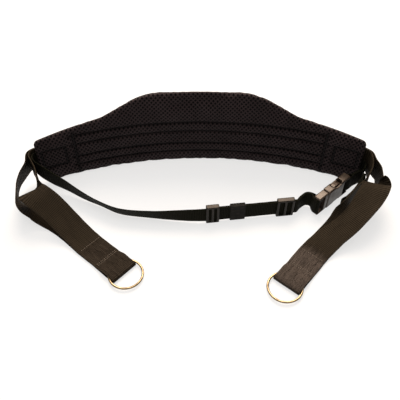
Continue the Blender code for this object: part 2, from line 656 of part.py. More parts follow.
clear_scene()
build_pad()
build_buckle()
build_waist_webbing()
build_sliders()
build_handles()
bpy.context.view_layer.update()
put_origin_under_middle()
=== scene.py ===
"""Gait belt: the looks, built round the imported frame.

Lengths below are in millimetres in the part's own layout, whose origin is moved by SHIFT; every mesh
is made in metres. A point of cloth carries an attribute, "cloth": its place along the piece and across
it in metres, and then across it from -1 to 1, which the woven materials read.
"""
from math import atan2, cos, pi, radians, sin

import bpy
import numpy as np
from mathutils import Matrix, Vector
from mathutils.bvhtree import BVHTree


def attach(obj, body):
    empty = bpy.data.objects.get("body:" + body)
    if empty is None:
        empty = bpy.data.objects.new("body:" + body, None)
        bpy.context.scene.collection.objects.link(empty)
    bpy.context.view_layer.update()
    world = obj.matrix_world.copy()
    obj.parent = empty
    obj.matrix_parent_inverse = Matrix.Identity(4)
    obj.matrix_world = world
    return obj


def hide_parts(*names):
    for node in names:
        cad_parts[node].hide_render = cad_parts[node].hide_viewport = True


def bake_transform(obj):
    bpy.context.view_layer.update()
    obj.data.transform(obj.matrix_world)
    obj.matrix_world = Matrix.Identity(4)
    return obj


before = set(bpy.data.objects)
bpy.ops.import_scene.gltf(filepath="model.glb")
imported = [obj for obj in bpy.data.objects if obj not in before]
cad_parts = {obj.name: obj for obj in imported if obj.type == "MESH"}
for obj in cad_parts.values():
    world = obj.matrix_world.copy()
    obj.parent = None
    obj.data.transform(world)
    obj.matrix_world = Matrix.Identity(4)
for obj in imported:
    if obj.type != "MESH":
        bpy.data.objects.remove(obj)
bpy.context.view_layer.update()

MM = 0.001
SHIFT = np.array((-1.77, 39.08, 0.0))

# Pad
PAD_RADIUS = 546.0          # plan curve of the inner face
PAD_BACK = 81.0             # y of the inner face at the middle
PAD_HALF = 233.0
PAD_TOP_MID = 125.5
PAD_TOP_END = 77.0
PAD_WING_SLOPE = 0.18
RISE_FROM, RISE_TO = 52.0, 146.0
CORNER_LOW, CORNER_HIGH = 24.0, 7.0
PAD_THICK = 8.6
PAD_EDGE = 4.6              # rounding of the rim
GROOVES = (72.5, 55.8, 33.3, 18.0)
GROOVE_HALF = 184.0
CROSS_SEAM = 179.0
BANDS = (64.0, 26.0)        # heights of the two tapes along the back
BAND_HALF = 186             # half their length
BAND_OUT = 8.9              # how far out the pad's outer face is
HOLE_ALONG, HOLE_UP = 6.0, 7.0      # pitch of the knit's diamond holes
PAD_GRID = (168, 46)        # faces along and up each side of the pad

# The pad's filling: the cloth is blown up with its rim held
PRESSURE, LARGEST_MOVE = 7.0, 3.0
CLOTH_FRAMES = 20
HELD_RIM = 1.0

# Webbing
WAIST_WIDTH = 25.0
HANDLE_WIDTH = 38.0
WEBBING = 1.5
PLY = 1.8
RIB = 2.3                   # pitch of the ribs across the webbing
STRAP_STEP = 0.575          # spacing of the cross-sections along a strap
WAIST_HEIGHT = 42           # where the waist strap is sewn to the pad's left end
TAB_HEIGHT = 27             # where the buckle's tab is sewn to the right end
THREAD = 0.27               # radius of sewing thread
STITCH_SHARE = 0.76         # part of a stitch's pitch that shows thread

# Buckle and the straight run of the waist webbing
BUCKLE_AT = (157.0, -26.4, 17.3)
BUCKLE_TURN = radians(42.5)
BUCKLE_LENGTH = 67.0
BAR_INSET, BAR_RADIUS = 3.0, 2.3
RUN_START, RUN_END, RUN_HEIGHT = (4.0, -39.8), (130.0, -24.4), 15.5

# Hand straps and rings
LOW_PLY = 1.2
TOP_PLY = LOW_PLY + PLY + 0.05
RING_HEIGHT, RING_RADIUS, RING_WIRE = 3.7, 21.5, 1.5
POCKET_PLY = RING_HEIGHT + 2.8
OUTER_PLY = BAND_OUT + 2.5 * WEBBING + 0.6
INNER_PLY = BAND_OUT + 1.5 * WEBBING + 0.3
HANDLE_HEIGHT = 41.0        # where the hand straps are sewn to the pad
BOX_MIDDLE, BOX_HALF, BOX_HALF_UP = 209.5, 16.5, 15.5      # the sewn square at each end of the pad
ENDS_SEWN = (192, 200, 210, 220, 229.2)
FREE_FROM = 231
POCKET_RAMP = ((27.5, TOP_PLY + 1.5), (32, TOP_PLY + 0.1), (38, TOP_PLY))   # upper ply down to the lower
STRAPS = {
    "left": dict(fold=(-94.3, -126.5), back=(-0.74, 0.67), across=(-0.67, -0.74, 0), side=-1, far_row=68),
    "right": dict(fold=(105.8, -145.7), back=(0.64, 0.77), across=(-0.77, 0.64, 0), side=1, far_row=62),
}

# Painted highlight on the hand straps near the rings, stronger on the right
HIGHLIGHT_TINT = (0.0615, 0.048, 0.0395)
HIGHLIGHT_REACH = 46.0
HIGHLIGHT_CENTRE, HIGHLIGHT_LEVEL = 32, 6     # how far back from the fold, and how high
HIGHLIGHT_STRENGTH = (0.15, 0.9)               # how strong the painted highlight is, left and right

# Moulded parts and studio
SKIN_VOXEL, SKIN_ROUNDS = 0.45, 3
CAMERA_DOWN, CAMERA_LENS, SENSOR = 48.7, 48.6, 36.0
CAMERA_AT = (-0.0018, -0.4671, 0.5762)
FLOOR_HALF, FLOOR_DROP = 4000, 0.02


# ---------------------------------------------------------------- materials
class Finish:
    """A procedural material, built up from short calls."""

    def __init__(self, name):
        self.material = bpy.data.materials.new(name)
        self.material.use_nodes = True
        self.nodes = self.material.node_tree.nodes
        self.shader = self.nodes["Principled BSDF"]

    def link(self, value, socket):
        if isinstance(value, bpy.types.NodeSocket):
            self.material.node_tree.links.new(value, socket)
        else:
            socket.default_value = value

    def math(self, operation, *values):
        node = self.nodes.new("ShaderNodeMath")
        node.operation = operation
        for value, socket in zip(values, node.inputs):
            self.link(value, socket)
        return node.outputs[0]

    def cloth(self):
        """The cloth attribute as a vector, and its three numbers."""
        node = self.nodes.new("ShaderNodeAttribute")
        node.attribute_name = "cloth"
        split = self.nodes.new("ShaderNodeSeparateXYZ")
        self.link(node.outputs["Vector"], split.inputs[0])
        return node.outputs["Vector"], *split.outputs

    def wave(self, place, pitch, phase=0.0):
        """A sine of the given pitch along place, from -1 to 1."""
        turned = self.math("MULTIPLY_ADD", place, 2 * pi / pitch, phase)
        return self.math("SINE", turned)

    def step(self, value, low, high, from_low=0.0, from_high=1.0):
        node = self.nodes.new("ShaderNodeMapRange")
        node.interpolation_type = "SMOOTHSTEP"
        for number, socket in zip((value, low, high, from_low, from_high), node.inputs):
            self.link(number, socket)
        return node.outputs[0]

    def noise(self, scale, detail=3.0, vector=None, roughness=0.5):
        node = self.nodes.new("ShaderNodeTexNoise")
        if vector is None:
            vector = self.nodes.new("ShaderNodeTexCoord").outputs["Object"]
        self.link(vector, node.inputs["Vector"])
        node.inputs["Scale"].default_value = scale
        node.inputs["Detail"].default_value = detail
        node.inputs["Roughness"].default_value = roughness
        return node.outputs[0]

    def mix(self, factor, low, high):
        node = self.nodes.new("ShaderNodeMix")
        node.data_type = "RGBA"
        node.clamp_factor = True
        self.link(factor, node.inputs["Factor"])
        for name, colour in (("A", low), ("B", high)):
            socket = [s for s in node.inputs if s.name == name and s.type == "RGBA"][0]
            self.link(colour if isinstance(colour, bpy.types.NodeSocket) else (*colour, 1.0), socket)
        return [s for s in node.outputs if s.type == "RGBA"][0]

    def bump(self, height, distance, strength=1.0):
        node = self.nodes.new("ShaderNodeBump")
        node.inputs["Distance"].default_value = distance
        node.inputs["Strength"].default_value = strength
        self.link(height, node.inputs["Height"])
        self.link(node.outputs[0], self.shader.inputs["Normal"])

    def set(self, **values):
        for name, value in values.items():
            self.link(value, self.shader.inputs[name.replace("_", " ")])


def creases_and_highlight(f, vector, spots, reach):
    """Fine fold lines, and a painted highlight that lightens the webbing, each from 0 to 1 near the spots."""
    highlight = None
    for place, brightness in spots:
        measure = f.nodes.new("ShaderNodeVectorMath")
        measure.operation = "DISTANCE"
        f.link(f.nodes.new("ShaderNodeTexCoord").outputs["Object"], measure.inputs[0])
        measure.inputs[1].default_value = place
        near = f.step(measure.outputs["Value"], 0.55 * reach, reach, brightness, 0.0)
        highlight = near if highlight is None else f.math("MAXIMUM", highlight, near)
    fold = f.math("ABSOLUTE", f.math("SUBTRACT", f.noise(42.0, 2.0, vector, 0.5), 0.47))
    return f.math("MULTIPLY", f.step(fold, 0.0, 0.03, 1.0, 0.0), f.step(highlight, 0.0, 0.12)), highlight


def webbing_finish(name, dark, light, gloss=0.01, highlight_at=()):
    """Woven nylon: ribs across the strap, threads on them, painted highlight on the rib crests and along the
    edges, and round the given spots a painted highlight with painted shade in its fold lines.
    """
    f = Finish(name)
    vector, along, across, share = f.cloth()
    ribs = f.wave(along, RIB * MM)
    row = f.math("FLOOR", f.math("DIVIDE", along, RIB * MM))
    shift = f.math("MULTIPLY", f.math("FLOORED_MODULO", row, 2.0), pi)
    threads = f.wave(across, 1.15 * MM, shift)
    fibre = f.noise(2600.0, 2.0, vector)
    fine = f.math("MULTIPLY_ADD", threads, 0.35, f.math("MULTIPLY", fibre, 0.25))
    height = f.math("MULTIPLY_ADD", ribs, 0.7, fine)
    patch = f.noise(38.0, 4.0, vector, 0.6)
    # painted shade: the colour is lighter on the rib and thread crests and darker in the grooves between them
    crest_highlight = f.math("MULTIPLY_ADD", ribs, 0.6, f.math("MULTIPLY", threads, 0.3))
    # painted highlight: the colour is paler along the rounded edges of the webbing
    edge = f.step(f.math("ABSOLUTE", share), 0.9, 1.0)
    amount = f.math("ADD", f.step(patch, 0.25, 0.8), f.math("MULTIPLY_ADD", edge, 0.55, crest_highlight))
    colour = f.mix(amount, dark, light)
    if highlight_at:
        folds_and_shade, highlight = creases_and_highlight(f, vector, highlight_at, HIGHLIGHT_REACH * MM)
        height = f.math("MULTIPLY_ADD", folds_and_shade, -4.0, height)
        # painted highlight: near the rings the webbing is lightened towards a warm tint, most on the right
        # strap
        colour = f.mix(highlight, colour, HIGHLIGHT_TINT)
        # painted shade: the fold lines are darkened towards the webbing's dark colour
        colour = f.mix(f.math("MULTIPLY", folds_and_shade, 0.8), colour, dark)
    f.bump(height, 0.22 * MM, 0.9)
    f.set(Base_Color=colour, Roughness=f.step(patch, 0.2, 0.8, 0.35, 0.52))
    f.set(Sheen_Weight=0.004, Sheen_Roughness=0.45, Sheen_Tint=(1.0, 0.86, 0.7, 1.0))
    f.set(Specular_IOR_Level=gloss, Specular_Tint=(1.0, 0.84, 0.66, 1.0))
    return f.material


def seam_shade(f, along, up):
    """Painted shade along the stitching, where the mesh is sewn shut, from 0 to 1."""
    away = f.math("ABSOLUTE", along)
    rows = None
    for height in GROOVES:
        gap = f.math("ABSOLUTE", f.math("SUBTRACT", up, height * MM))
        row = f.step(gap, 0.6 * MM, 3.0 * MM, 1.0, 0.0)
        rows = row if rows is None else f.math("MAXIMUM", rows, row)
    rows = f.math("MULTIPLY", rows, f.step(away, GROOVE_HALF * MM, (GROOVE_HALF + 3) * MM, 1.0, 0.0))
    gap = f.math("ABSOLUTE", f.math("SUBTRACT", away, CROSS_SEAM * MM))
    below_top = f.step(up, 74 * MM, 80 * MM, 1.0, 0.0)
    cross = f.math("MULTIPLY", f.step(gap, 1.0 * MM, 4.0 * MM, 1.0, 0.0), below_top)
    sides = []
    for value, middle, half in ((away, BOX_MIDDLE, BOX_HALF), (up, HANDLE_HEIGHT, BOX_HALF_UP)):
        gap = f.math("ABSOLUTE", f.math("SUBTRACT", value, middle * MM))
        sides.append(f.math("SUBTRACT", gap, half * MM))
    edge = f.math("ABSOLUTE", f.math("MAXIMUM", *sides))
    box = f.step(edge, 0.8 * MM, 3.2 * MM, 1.0, 0.0)
    return f.math("MAXIMUM", f.math("MAXIMUM", rows, cross), box)


def air_mesh_finish():
    """Knitted spacer mesh: painted shade in the diamond holes between the crossing ridges, and painted shade
    along the stitching.
    """
    f = Finish("air_mesh")
    vector, along, up, _ = f.cloth()
    nearest = None
    for start in (0.0, 0.5):
        x = f.math("ADD", f.math("DIVIDE", along, HOLE_ALONG * MM), start)
        z = f.math("ADD", f.math("DIVIDE", up, HOLE_UP * MM), start)
        x = f.math("ABSOLUTE", f.math("SUBTRACT", f.math("FRACT", x), 0.5))
        z = f.math("ABSOLUTE", f.math("SUBTRACT", f.math("FRACT", z), 0.5))
        away = f.math("ADD", x, z)
        nearest = away if nearest is None else f.math("MINIMUM", nearest, away)
    ridge = f.step(nearest, 0.2, 0.4)
    knit = f.math("MULTIPLY", f.wave(along, 0.75 * MM), f.wave(up, 0.9 * MM))
    fibre = f.noise(1800.0, 3.0, vector)
    f.bump(f.math("MULTIPLY_ADD", ridge, 1.3, f.math("MULTIPLY_ADD", knit, 0.22, fibre)), 0.4 * MM, 0.9)
    # painted shade: the colour goes near black in the knit's holes and is lighter on the ridges
    patch = f.math("MULTIPLY", ridge, f.step(f.noise(30.0, 4.0, vector), 0.15, 0.75, 0.6, 1.0))
    # painted shade: the mesh colour is darkened along the stitching and round the sewn squares
    patch = f.math("MULTIPLY", patch, f.math("MULTIPLY_ADD", seam_shade(f, along, up), -0.72, 1.0))
    f.set(Base_Color=f.mix(patch, (0.0014, 0.0011, 0.0011), (0.034, 0.0222, 0.0224)))
    f.set(Roughness=f.math("MULTIPLY_ADD", ridge, -0.25, 0.85), Specular_IOR_Level=0.08)
    f.set(Sheen_Weight=0.012, Sheen_Roughness=0.4, Sheen_Tint=(1.0, 0.88, 0.92, 1.0))
    return f.material


def pad_cloth_finish():
    """Plain woven nylon on the outer face of the pad."""
    f = Finish("pad_cloth")
    vector, along, up, _ = f.cloth()
    weave = f.math("MULTIPLY", f.wave(along, 1.1 * MM), f.wave(up, 1.1 * MM))
    f.bump(f.math("MULTIPLY_ADD", weave, 0.5, f.noise(2200.0, 2.0, vector)), 0.16 * MM, 0.9)
    patch = f.math("MULTIPLY_ADD", weave, 0.2, f.step(f.noise(45.0, 4.0, vector), 0.2, 0.8))
    f.set(Base_Color=f.mix(patch, (0.005, 0.0045, 0.0048), (0.014, 0.0125, 0.0125)), Roughness=0.62)
    f.set(Sheen_Weight=0.02, Sheen_Roughness=0.5, Specular_IOR_Level=0.15)
    return f.material


def plastic_finish(name, colour, roughness, gloss):
    """Satin moulded plastic: fine spark-eroded grain, soft handling marks."""
    f = Finish(name)
    grain = f.noise(1500.0, 2.0)
    marks = f.noise(90.0, 5.0, roughness=0.65)
    f.bump(f.math("MULTIPLY_ADD", marks, 0.3, grain), 0.05 * MM, 0.6)
    pale = tuple(c * 1.7 + 0.003 for c in colour)
    f.set(Base_Color=f.mix(f.step(marks, 0.35, 0.75), colour, pale))
    f.set(Roughness=f.step(marks, 0.3, 0.75, roughness - 0.06, roughness + 0.1), Specular_IOR_Level=gloss)
    f.set(Specular_Tint=(1.0, 0.85, 0.72, 1.0))
    return f.material


def elastic_finish():
    """Knitted elastic: narrow cords along the strap."""
    f = Finish("elastic")
    split = f.nodes.new("ShaderNodeSeparateXYZ")
    vector = f.nodes.new("ShaderNodeTexCoord").outputs["Object"]
    f.link(vector, split.inputs[0])
    cords = f.wave(split.outputs["Z"], 1.3 * MM)
    loops = f.wave(split.outputs["X"], 0.8 * MM)
    f.bump(f.math("MULTIPLY_ADD", cords, 0.6, f.math("MULTIPLY", loops, 0.25)), 0.2 * MM, 0.8)
    amount = f.math("MULTIPLY_ADD", cords, 0.2, f.step(f.noise(200.0, 3.0, vector), 0.2, 0.8))
    f.set(Base_Color=f.mix(amount, (0.004, 0.0035, 0.0027), (0.016, 0.0135, 0.0105)))
    f.set(Roughness=0.7, Specular_IOR_Level=0.08, Sheen_Weight=0.008, Sheen_Roughness=0.5)
    return f.material


def ring_finish():
    """Plated steel wire with a pale gold cast, drawn lines and faint tarnish."""
    f = Finish("ring_metal")
    tarnish = f.noise(140.0, 5.0, roughness=0.65)
    f.bump(f.noise(1600.0, 2.0), 0.03 * MM, 0.5)
    f.set(Base_Color=f.mix(f.step(tarnish, 0.45, 0.75), (0.3, 0.225, 0.13), (0.14, 0.095, 0.05)))
    f.set(Metallic=1.0, Roughness=f.step(tarnish, 0.4, 0.8, 0.3, 0.45))
    return f.material


def thread_finish(name, dark, light):
    """Bonded two-ply thread."""
    f = Finish(name)
    vector, along, across, _ = f.cloth()
    lean = f.math("MULTIPLY", across, 3 * pi)
    twist = f.math("SINE", f.math("MULTIPLY_ADD", along, 2 * pi / (0.7 * MM), lean))
    f.bump(twist, 0.08 * MM, 0.8)
    f.set(Base_Color=f.mix(f.math("MULTIPLY_ADD", twist, 0.3, 0.5), dark, light))
    f.set(Roughness=0.5, Specular_IOR_Level=0.3)
    return f.material


# ---------------------------------------------------------------- meshes
def mesh_object(name, points, faces, finish, cloth=None):
    """A smooth mesh from points in layout millimetres."""
    mesh = bpy.data.meshes.new(name)
    mesh.from_pydata(((np.asarray(points) + SHIFT) * MM).tolist(), [], [list(face) for face in faces])
    if cloth is not None:
        layer = mesh.attributes.new("cloth", "FLOAT_VECTOR", "POINT")
        layer.data.foreach_set("vector", np.ascontiguousarray(cloth, dtype=np.float32).ravel())
    mesh.materials.append(finish)
    mesh.shade_smooth()
    thing = bpy.data.objects.new(name, mesh)
    bpy.context.scene.collection.objects.link(thing)
    return thing


def tube_faces(rings, sides, first=0, caps=True):
    """Quads between closed rings of points, with one face closing each end."""
    k, j = np.meshgrid(np.arange(rings - 1), np.arange(sides), indexing="ij")
    after = (j + 1) % sides
    quads = [k * sides + j, k * sides + after, (k + 1) * sides + after, (k + 1) * sides + j]
    faces = (np.stack(quads, axis=-1).reshape(-1, 4) + first).tolist()
    if caps:
        faces.append([first + n for n in range(sides)][::-1])
        faces.append([first + (rings - 1) * sides + n for n in range(sides)])
    return faces


def smoothstep(value):
    """0 below 0, 1 above 1, and smooth between."""
    t = np.clip(value, 0.0, 1.0)
    return t * t * (3 - 2 * t)


def spline(stations, spacing=None, count=None):
    """Catmull-Rom curve through the stations, read at even spacing or at count places."""
    known = np.array(stations, float)
    known = np.vstack([2 * known[0] - known[1], known, 2 * known[-1] - known[-2]])
    spread = np.maximum(np.linalg.norm(np.diff(known[:, :3], axis=0), axis=1), 1e-3) ** 0.5
    knots = np.concatenate([[0], np.cumsum(spread)])
    fine = []
    for k in range(1, len(known) - 2):
        t0, t1, t2, t3 = knots[k - 1:k + 3]
        p0, p1, p2, p3 = known[k - 1:k + 3]
        t = np.linspace(t1, t2, 25)[:-1, None]
        a1 = (t1 - t) / (t1 - t0) * p0 + (t - t0) / (t1 - t0) * p1
        a2 = (t2 - t) / (t2 - t1) * p1 + (t - t1) / (t2 - t1) * p2
        a3 = (t3 - t) / (t3 - t2) * p2 + (t - t2) / (t3 - t2) * p3
        b1 = (t2 - t) / (t2 - t0) * a1 + (t - t0) / (t2 - t0) * a2
        b2 = (t3 - t) / (t3 - t1) * a2 + (t - t1) / (t3 - t1) * a3
        fine.extend((t2 - t) / (t2 - t1) * b1 + (t - t1) / (t2 - t1) * b2)
    fine.append(known[-2])
    fine = np.array(fine)
    run = np.concatenate([[0], np.cumsum(np.linalg.norm(np.diff(fine[:, :3], axis=0), axis=1))])
    places = np.linspace(0, run[-1], count or int(run[-1] / spacing) + 1)
    return np.stack([np.interp(places, run, fine[:, k]) for k in range(fine.shape[1])], axis=1)


def strap_section(width, thickness):
    """Cross-section of webbing: flat faces, round selvedges. Returns (across, through) pairs."""
    edge = thickness / 2
    flat = np.linspace(-(width / 2 - edge), width / 2 - edge, 13)
    turn = np.linspace(-pi / 2, pi / 2, 6)[1:-1]
    top = [(a, edge) for a in flat]
    right = [(width / 2 - edge + edge * cos(t), -edge * sin(t)) for t in turn]
    low = [(a, -edge) for a in flat[::-1]]
    left = [(-(width / 2 - edge) - edge * cos(t), edge * sin(t)) for t in turn]
    return np.array(top + right + low + left)


class Strap:
    """Webbing through stations of (x, y, z, across x, across y, across z) in layout millimetres."""

    def __init__(self, name, stations, width, finish, waver=0.12):
        path = spline(stations, STRAP_STEP)
        self.centre = path[:, :3]
        along = np.gradient(self.centre, axis=0)
        along /= np.linalg.norm(along, axis=1)[:, None]
        across = path[:, 3:6] - along * (path[:, 3:6] * along).sum(axis=1)[:, None]
        across /= np.linalg.norm(across, axis=1)[:, None]
        self.across = across
        self.normal = np.cross(along, across)
        lengths = np.linalg.norm(np.diff(self.centre, axis=0), axis=1)
        self.run = np.concatenate([[0], np.cumsum(lengths)])
        section = strap_section(width, WEBBING)
        sides = len(section)
        rib = 0.06 * np.cos(2 * pi * self.run / RIB)
        edge_wave = 0.1 * np.sin(self.run / 7.3) + 0.07 * np.sin(self.run / 2.9 + 1.0)
        points = np.empty((len(self.run), sides, 3))
        cloth = np.empty((len(self.run), sides, 3))
        for n, (a, t) in enumerate(section):
            share = a / (width / 2)
            wide = a + np.sign(a) * edge_wave * abs(share) ** 6
            swell = np.sign(t) * rib * (1 - abs(share) ** 8)
            cup = waver * np.sin(self.run / 31.0 + 2.0 * share) * share ** 2 * (1 - np.exp(-self.run / 60))
            out = t + swell + cup
            points[:, n] = self.centre + across * wide[:, None] + self.normal * out[:, None]
            cloth[:, n] = np.stack([self.run * MM, np.full_like(self.run, a * MM),
                                    np.full_like(self.run, share)], axis=1)
        self.object = mesh_object(name, points.reshape(-1, 3), tube_faces(len(self.run), sides), finish,
                                  cloth.reshape(-1, 3))

    def place(self, distance, aside, above):
        """A point at a distance along the strap, aside across it and above its middle."""
        at = [np.array([np.interp(distance, self.run, line[:, k]) for k in range(3)])
              for line in (self.centre, self.across, self.normal)]
        return at[0] + at[1] * aside + at[2] * above


def stitches(name, rows, finish, pitch=3.4):
    """Rows of lock stitches. Each row is a list of (point, normal) along the seam, in millimetres."""
    sides, cuts = 6, 5
    points, faces, cloth = [], [], []
    for row in rows:
        places = np.array([p for p, _ in row], float)
        normals = np.array([n for _, n in row], float)
        run = np.concatenate([[0], np.cumsum(np.linalg.norm(np.diff(places, axis=0), axis=1))])
        if run[-1] < pitch:
            continue
        total = int(run[-1] / pitch)
        for k in range(total):
            start = (k + 0.5 - STITCH_SHARE / 2) * run[-1] / total
            end = (k + 0.5 + STITCH_SHARE / 2) * run[-1] / total
            first = len(points)
            tip = [np.array([np.interp(d, run, places[:, c]) for c in range(3)]) for d in (start, end)]
            heading = (tip[1] - tip[0]) / np.linalg.norm(tip[1] - tip[0])
            for cut in range(cuts):
                t = cut / (cuts - 1)
                d = start + (end - start) * t
                at = np.array([np.interp(d, run, places[:, c]) for c in range(3)])
                up = np.array([np.interp(d, run, normals[:, c]) for c in range(3)])
                up /= np.linalg.norm(up)
                side = np.cross(heading, up)
                at = at + up * (sin(pi * t) * 0.75 - 0.35) * THREAD
                size = THREAD * (0.55 + 0.45 * sin(pi * t))
                for n in range(sides):
                    turn = 2 * pi * n / sides
                    points.append(at + (side * cos(turn) + up * sin(turn)) * size)
                    cloth.append((d * MM, n / sides, 0))
            faces += tube_faces(cuts, sides, first)
    return mesh_object(name, points, faces, finish, cloth)


# ---------------------------------------------------------------- pad
def pad_point(s, z, out):
    """A point s along the pad's curve, z up it and out behind its inner face."""
    turn = np.asarray(s) / PAD_RADIUS
    radius = PAD_RADIUS + np.asarray(out)
    x, y = radius * np.sin(turn), PAD_BACK - PAD_RADIUS + radius * np.cos(turn)
    return np.stack(np.broadcast_arrays(x, y, z), axis=-1)


def pad_edges(s):
    """Heights of the pad's lower and upper edge at s along it."""
    away = np.abs(s)
    wing = PAD_TOP_END + (PAD_HALF - away) * PAD_WING_SLOPE
    raised = 1 - smoothstep((away - RISE_FROM) / (RISE_TO - RISE_FROM))
    top = wing + (PAD_TOP_MID - wing) * raised

    def cut(radius):
        into = np.clip(away - (PAD_HALF - radius), 0, radius)
        return (radius - np.sqrt(radius ** 2 - into ** 2)) * 0.92

    return cut(CORNER_LOW), top - cut(CORNER_HIGH)


def bead(value, centre, width):
    """1 at the centre of a sewn line, falling to 0 away from it."""
    return np.exp(-((value - centre) / width) ** 2)


def sewn_depth(s, z):
    """How far stitching pulls the inner face of the pad in."""
    away = np.abs(s)
    length = 1 - smoothstep((away - GROOVE_HALF) / 5)
    depth = np.zeros_like(s)
    for height in GROOVES:
        depth = np.maximum(depth, 3.1 * bead(z, height, 2.5) * length)
    upright = smoothstep((z - 10) / 6) * (1 - smoothstep((z - 76) / 6))
    depth = np.maximum(depth, 3.2 * bead(away, CROSS_SEAM, 3.6) * upright)
    box_s, box_z = np.abs(away - BOX_MIDDLE) - BOX_HALF, np.abs(z - HANDLE_HEIGHT) - BOX_HALF_UP
    frame_line = np.maximum(box_s, box_z)
    depth = np.maximum(depth, 2.6 * bead(frame_line, 0.0, 2.6))
    return depth + 1.6 * (frame_line < 0) * smoothstep(-frame_line / 4)


def hole_depth(s, z):
    """The knit's diamond holes, from 0 on a ridge to 1 in a hole."""
    nearest = np.full_like(s, 9.0)
    for start in (0.0, 0.5):
        x = np.abs(np.mod(s / HOLE_ALONG + start, 1.0) - 0.5)
        y = np.abs(np.mod(z / HOLE_UP + start, 1.0) - 0.5)
        nearest = np.minimum(nearest, x + y)
    return 1 - smoothstep((nearest - 0.16) / 0.24)


def pad_shape(columns, rows):
    """Closed pad of two grids that share their rim: points, faces, cloth and how many faces are in front."""
    u = np.linspace(-1, 1, columns + 1)
    s_line = PAD_HALF * (0.86 * u + 0.14 * np.sin(u * pi / 2))
    t = np.linspace(0, 1, rows + 1)
    v_line = 0.75 * t + 0.25 * (0.5 - 0.5 * np.cos(pi * t))
    s, v = np.meshgrid(s_line, v_line, indexing="ij")
    low, high = pad_edges(s)
    z = low + (high - low) * v
    inside = np.minimum(np.minimum(z - low, high - z), PAD_HALF - np.abs(s))
    full = np.sqrt(np.clip(1 - (1 - np.clip(inside / PAD_EDGE, 0, 1)) ** 2, 0, 1))
    middle = PAD_THICK / 2
    front = pad_point(s, z, middle - (middle - 0.9) * full)
    back = pad_point(s, z, middle + (middle - 0.15) * full)
    count = s.size
    front_ids = np.arange(count).reshape(s.shape)
    back_ids = front_ids + count
    rim = np.ones(s.shape, bool)
    rim[1:-1, 1:-1] = False
    back_ids[rim] = front_ids[rim]
    points = np.concatenate([front.reshape(-1, 3), back.reshape(-1, 3)])
    cloth = [np.stack([s * MM, z * MM, np.full_like(s, k)], axis=-1).reshape(-1, 3) for k in (0, 1)]
    cloth = np.concatenate(cloth)
    corners = [(slice(None, -1), slice(None, -1)), (slice(1, None), slice(None, -1)),
               (slice(1, None), slice(1, None)), (slice(None, -1), slice(1, None))]
    front_faces = np.stack([front_ids[c] for c in corners], axis=-1).reshape(-1, 4)
    back_faces = np.stack([back_ids[c] for c in corners[::-1]], axis=-1).reshape(-1, 4)
    faces = np.concatenate([front_faces, back_faces])
    used = np.unique(faces)
    new = np.full(len(points), -1)
    new[used] = np.arange(len(used))
    return points[used], new[faces], cloth[used], len(front_faces)


def read_points(thing):
    count = len(thing.data.vertices)
    flat = np.empty(count * 3, np.float32)
    thing.data.vertices.foreach_get("co", flat)
    return flat.reshape(-1, 3).astype(float)


def write_points(thing, points):
    thing.data.vertices.foreach_set("co", np.ascontiguousarray(points, dtype=np.float32).ravel())
    thing.data.update()


def inflate(thing, pinned, pressure, cap):
    """Blows the closed cloth up with its sewn points held, and keeps each move under cap metres."""
    group = thing.vertex_groups.new(name="sewn")
    group.add(np.flatnonzero(pinned).tolist(), 1.0, "REPLACE")
    start = read_points(thing)
    cloth = thing.modifiers.new("cloth", "CLOTH")
    settings = cloth.settings
    settings.quality = 5
    settings.mass = 0.15
    settings.tension_stiffness = settings.compression_stiffness = 12
    settings.shear_stiffness = 5
    settings.bending_stiffness = 0.3
    settings.shrink_min = -0.025
    settings.vertex_group_mass = "sewn"
    settings.use_pressure = True
    settings.uniform_pressure_force = pressure
    settings.effector_weights.gravity = 0
    cloth.collision_settings.use_collision = False
    cloth.point_cache.frame_end = CLOTH_FRAMES
    scene = bpy.context.scene
    for number in range(1, CLOTH_FRAMES + 1):
        scene.frame_set(number)
    seen = thing.evaluated_get(bpy.context.evaluated_depsgraph_get())
    flat = np.empty(len(start) * 3, np.float32)
    seen.data.vertices.foreach_get("co", flat)
    thing.modifiers.remove(cloth)
    scene.frame_set(1)
    move = flat.reshape(-1, 3) - start
    far = np.linalg.norm(move, axis=1)
    write_points(thing, start + move * np.minimum(1, cap / np.maximum(far, 1e-9))[:, None])
    thing.vertex_groups.remove(group)


def subdivide(thing):
    """Replaces the mesh with its once-subdivided surface."""
    modifier = thing.modifiers.new("finer", "SUBSURF")
    modifier.levels = modifier.render_levels = 1
    graph = bpy.context.evaluated_depsgraph_get()
    mesh = bpy.data.meshes.new_from_object(thing.evaluated_get(graph), preserve_all_data_layers=True,
                                           depsgraph=graph)
    thing.modifiers.remove(modifier)
    thing.data = mesh


def read_cloth(thing):
    layer = thing.data.attributes["cloth"]
    flat = np.empty(len(thing.data.vertices) * 3, np.float32)
    layer.data.foreach_get("vector", flat)
    return flat.reshape(-1, 3).astype(float)


